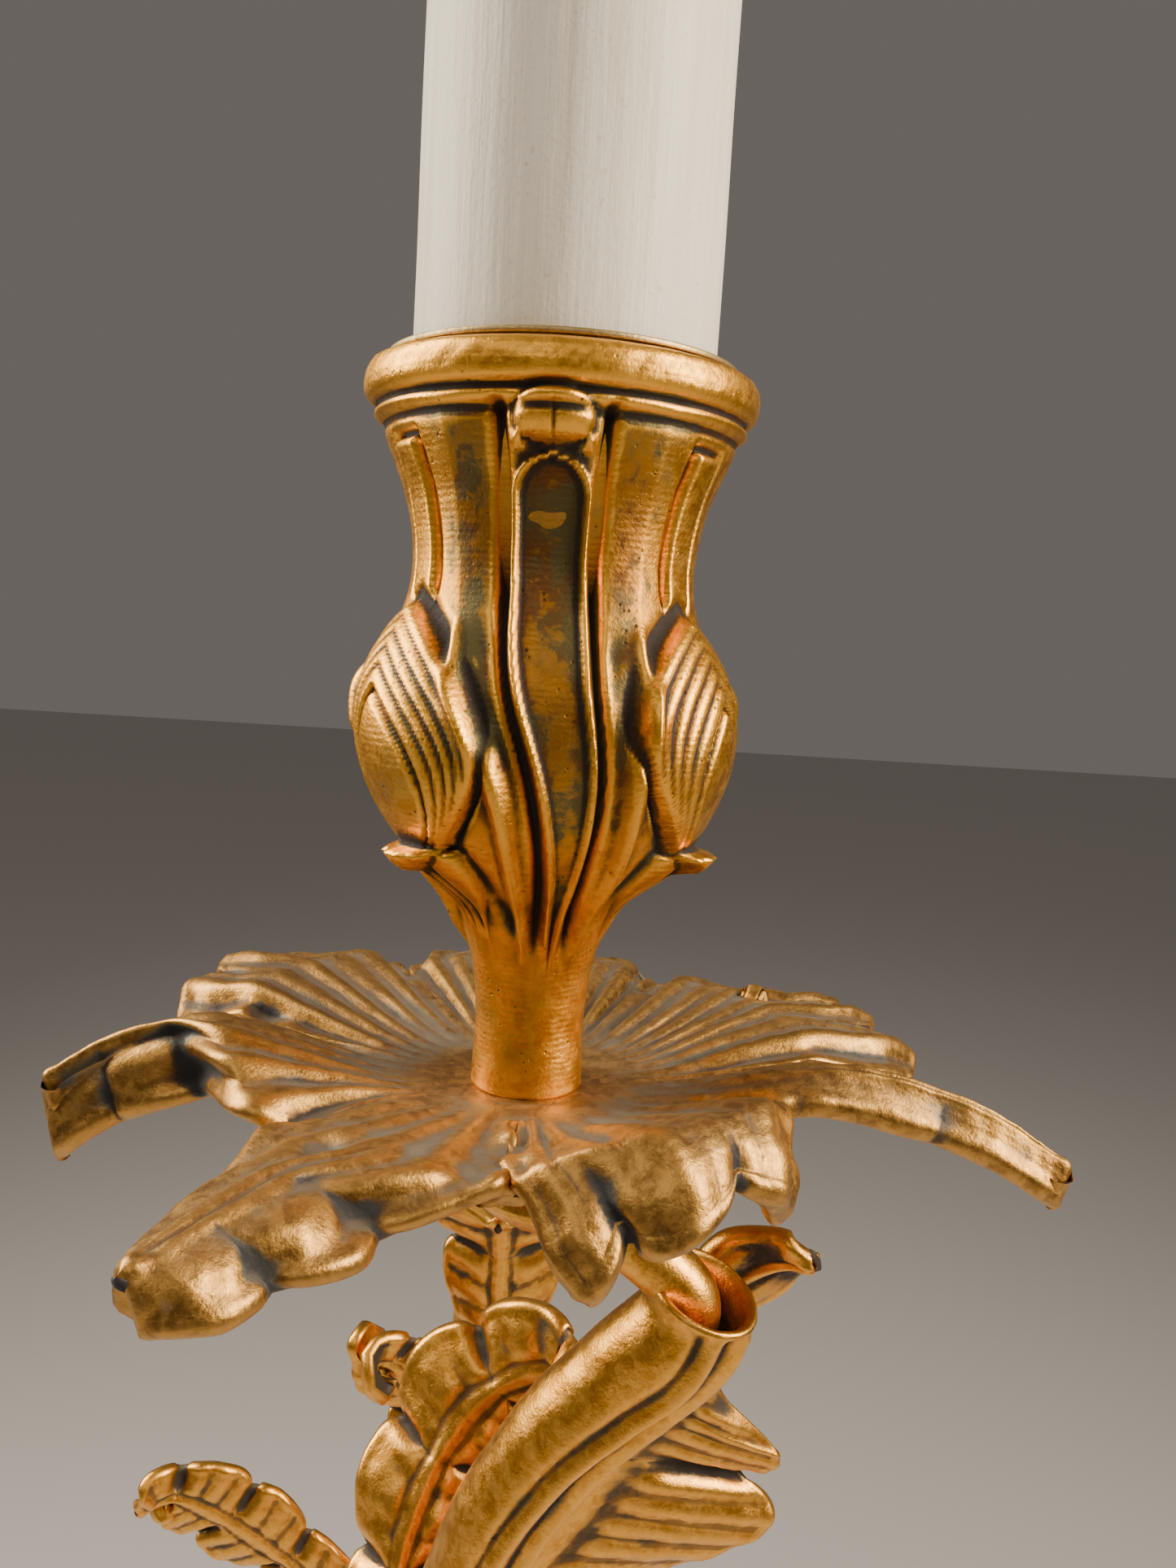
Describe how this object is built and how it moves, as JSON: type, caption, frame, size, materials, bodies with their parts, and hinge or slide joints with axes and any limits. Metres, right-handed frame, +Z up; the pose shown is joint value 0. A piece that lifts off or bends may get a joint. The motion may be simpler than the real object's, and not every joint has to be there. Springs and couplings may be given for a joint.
{
  "type": "wall sconce candle holder",
  "caption": "Gilt-bronze rococo wall sconce: a leafy branch rises from a wall plate to a leaf drip pan and a vase-shaped nozzle holding a candle.",
  "frame": {"origin": "on the wall plate's flat back, where it meets the wall", "axes": "+Y into the wall, +Z up, +X to the right of someone facing the wall"},
  "size_m": [0.1104, 0.1366, 0.4827],
  "materials": {
    "gilt_bright": "fire-gilt bronze, bright, dark in its recesses",
    "gilt_worn": "gilding worn to coppery bronze on the edges, dusty in the middle",
    "gilt_dull": "matt fire gilding, burnished on the ridges",
    "liner_brass": "tarnished sheet brass",
    "iron": "dark turned steel",
    "wax": "ivory wax, faintly streaked",
    "cotton": "braided cotton"
  },
  "bodies": {
    "branch": {"wall_plate": "gilt_dull", "branch_bolt": "iron", "branch_washer": "iron", "branch_nut": "iron", "branch": "gilt_dull", "pan_seat": "gilt_dull", "neck_screw": "iron", "outer_leaf": "gilt_dull", "outer_leaf_pin": "gilt_dull", "curled_leaf": "gilt_dull", "curled_leaf_pin": "gilt_dull", "lower_leaf": "gilt_dull", "lower_leaf_pin": "gilt_dull", "mouth_leaf": "gilt_dull", "mouth_leaf_pin": "gilt_dull", "crest_leaf": "gilt_dull", "crest_rivet": "gilt_dull", "left_crest_leaf": "gilt_dull", "left_crest_rivet": "gilt_dull", "right_crest_leaf": "gilt_dull", "right_crest_rivet": "gilt_dull", "side_leaf": "gilt_dull", "side_rivet": "gilt_dull", "tail_leaf": "gilt_dull", "tail_rivet": "gilt_dull"},
    "drip_pan": {"drip_pan": "gilt_worn"},
    "nozzle_stud": {"nozzle_stud": "iron"},
    "nozzle": {"nozzle": "gilt_bright"},
    "liner": {"liner": "liner_brass"},
    "candle": {"candle": "wax", "wick": "cotton"}
  },
  "joints": [
    {"name": "pan_turn", "type": "hinge", "parent": "branch", "child": "drip_pan", "pos_m": [0.006, -0.105, 0.155], "axis": [0, 0, 1], "continuous": true},
    {"name": "nozzle_rise", "type": "slide", "parent": "branch", "child": "nozzle_stud", "axis": [0, 0, 1], "range_m": [0, 0.008]},
    {"name": "nozzle_unscrew", "type": "hinge", "parent": "nozzle_stud", "child": "nozzle", "pos_m": [0.006, -0.105, 0.155], "axis": [0, 0, 1], "range_deg": [0, 2880]},
    {"name": "liner_lift", "type": "slide", "parent": "nozzle", "child": "liner", "axis": [0, 0, 1], "range_m": [0, 0.03]},
    {"name": "candle_lift", "type": "slide", "parent": "liner", "child": "candle", "axis": [0, 0, 1], "range_m": [0, 0.03]}
  ],
  "couplings": [
    {"joint": "nozzle_rise", "follows": "nozzle_unscrew", "m_per_rad": 0.00015915}
  ]
}
